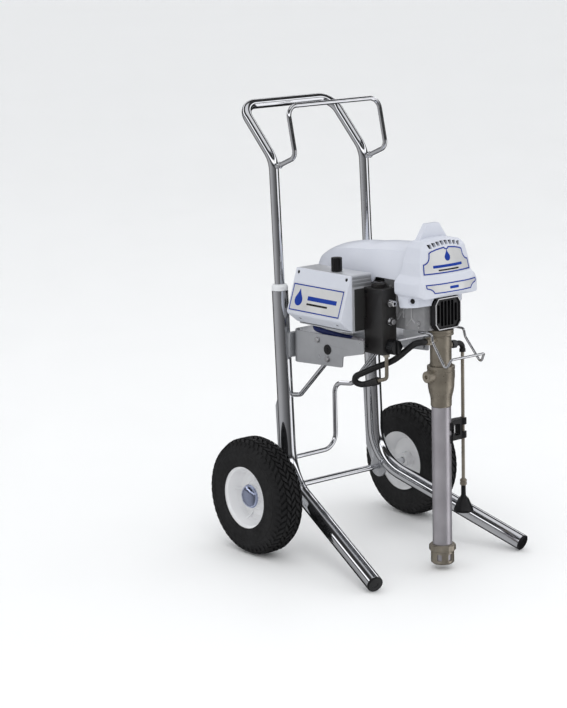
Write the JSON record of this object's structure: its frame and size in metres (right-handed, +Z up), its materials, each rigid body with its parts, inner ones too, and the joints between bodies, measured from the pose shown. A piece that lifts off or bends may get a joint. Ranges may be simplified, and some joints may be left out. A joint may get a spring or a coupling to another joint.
{
  "type": "airless paint sprayer",
  "caption": "Upright two-wheel cart with splayed legs and a telescopic handle, carrying an electric airless paint pump, control box, manifold and suction tube.",
  "frame": {"origin": "middle of the bounding box's underside, on the floor", "axes": "+X along the wheel axle, -Y towards the pump and the legs' tips, +Z up"},
  "size_m": [0.5212, 0.588, 0.9588],
  "materials": {
    "chrome_tube": "polished chrome plating on steel tube",
    "zinc_sheet": "bright zinc-plated sheet, satin",
    "white_cover": "moulded plastic, satin gloss with a fine texture",
    "white_panel": "powder-coated sheet, smooth",
    "rim_paint": "gloss enamel",
    "tyre_rubber": "moulded block tread, matt sidewall",
    "black_plastic": "moulded, fine texture",
    "white_bush": "moulded nylon",
    "black_metal": "black anodised or painted, matt",
    "cast_aluminium": "bead-blasted casting",
    "pump_bronze": "nickel-bronze plating, satin",
    "satin_steel": "turned steel, satin",
    "blue_hose": "smooth hose cover",
    "black_hose": "smooth hose cover",
    "circuit_green": "solder mask"
  },
  "bodies": {
    "cart": {"frame_tube_left": "chrome_tube", "frame_tube_right": "chrome_tube", "leg_cap_left": "black_plastic", "leg_cap_right": "black_plastic", "collar_left": "white_bush", "collar_right": "white_bush", "gusset_left": "zinc_sheet", "gusset_right": "zinc_sheet", "hubcap_left": "chrome_tube", "hubcap_right": "chrome_tube", "axle_rod": "chrome_tube", "support_rod": "chrome_tube", "mounting_bracket": "zinc_sheet", "bracket_bolt_upper": "zinc_sheet", "bracket_bolt_lower": "zinc_sheet", "motor_tray": "zinc_sheet", "motor_can": "black_metal", "drive_housing": "cast_aluminium", "front_cover": "white_cover", "motor_shroud": "white_cover", "front_guard": "black_plastic", "pump_cylinder": "pump_bronze", "pump_foot": "pump_bronze", "suction_tube": "satin_steel", "strainer_collar": "pump_bronze", "strainer": "pump_bronze", "outlet_fitting": "pump_bronze", "drain_elbow": "black_metal", "drain_tube": "pump_bronze", "deflector": "black_plastic", "tube_clip": "black_plastic", "pail_hook": "chrome_tube", "control_housing": "cast_aluminium", "control_panel": "white_panel", "circuit_board": "circuit_green", "cord_gland": "black_plastic", "manifold_block": "black_metal", "filter_element": "satin_steel", "filter_cap": "black_metal", "hose_outlet": "satin_steel", "pressure_sensor": "satin_steel", "jumper_hose": "blue_hose", "jumper_ferrule": "satin_steel", "manifold_pipe": "pump_bronze", "hose_elbow": "black_metal", "loop_hose": "black_hose"},
    "wheel_left": {"tyre_left": "tyre_rubber", "rim_left": "rim_paint"},
    "wheel_right": {"tyre_right": "tyre_rubber", "rim_right": "rim_paint"},
    "handle": {"handle_tube": "chrome_tube", "hose_rack": "chrome_tube"},
    "rotor": {"motor_rotor": "satin_steel", "cooling_fan": "black_plastic"},
    "crank": {"crank_gear": "satin_steel"},
    "piston": {"connecting_rod": "satin_steel", "piston_rod": "chrome_tube"},
    "pressure_dial": {"pressure_knob": "black_plastic"},
    "prime_valve": {"prime_valve_knob": "black_plastic"},
    "toggle": {"power_switch": "black_plastic"}
  },
  "joints": [
    {"name": "wheel_left_spin", "type": "hinge", "parent": "cart", "child": "wheel_left", "pos_m": [-0.226, 0.119, 0.127], "axis": [1, 0, 0], "continuous": true},
    {"name": "wheel_right_spin", "type": "hinge", "parent": "cart", "child": "wheel_right", "pos_m": [0.226, 0.119, 0.127], "axis": [1, 0, 0], "continuous": true},
    {"name": "handle_slide", "type": "slide", "parent": "cart", "child": "handle", "axis": [0, 0.0663, 0.9978], "range_m": [-0.19, 0]},
    {"name": "motor_spin", "type": "hinge", "parent": "cart", "child": "rotor", "pos_m": [0, 0.02138, 0.59014], "axis": [0, 0.9997, -0.0262], "continuous": true},
    {"name": "crank_spin", "type": "hinge", "parent": "cart", "child": "crank", "pos_m": [0, -0.12461, 0.55395], "axis": [0, 0.9997, -0.0262], "continuous": true},
    {"name": "piston_slide", "type": "slide", "parent": "cart", "child": "piston", "axis": [0, 0.0262, 0.9997], "range_m": [-0.024, 0]},
    {"name": "pressure_dial_turn", "type": "hinge", "parent": "cart", "child": "pressure_dial", "pos_m": [-0.113, -0.01584, 0.62012], "axis": [0, 0.0262, 0.9997], "range_deg": [-20, 250]},
    {"name": "prime_valve_turn", "type": "hinge", "parent": "cart", "child": "prime_valve", "pos_m": [-0.079, -0.15165, 0.47663], "axis": [0, -0.9997, 0.0262], "range_deg": [0, 90]},
    {"name": "toggle_flip", "type": "hinge", "parent": "cart", "child": "toggle", "pos_m": [-0.122, 0.08736, 0.58841], "axis": [1, 0, 0], "range_deg": [-24, 0]}
  ],
  "couplings": [
    {"joint": "crank_spin", "follows": "motor_spin", "ratio": -0.33333}
  ]
}
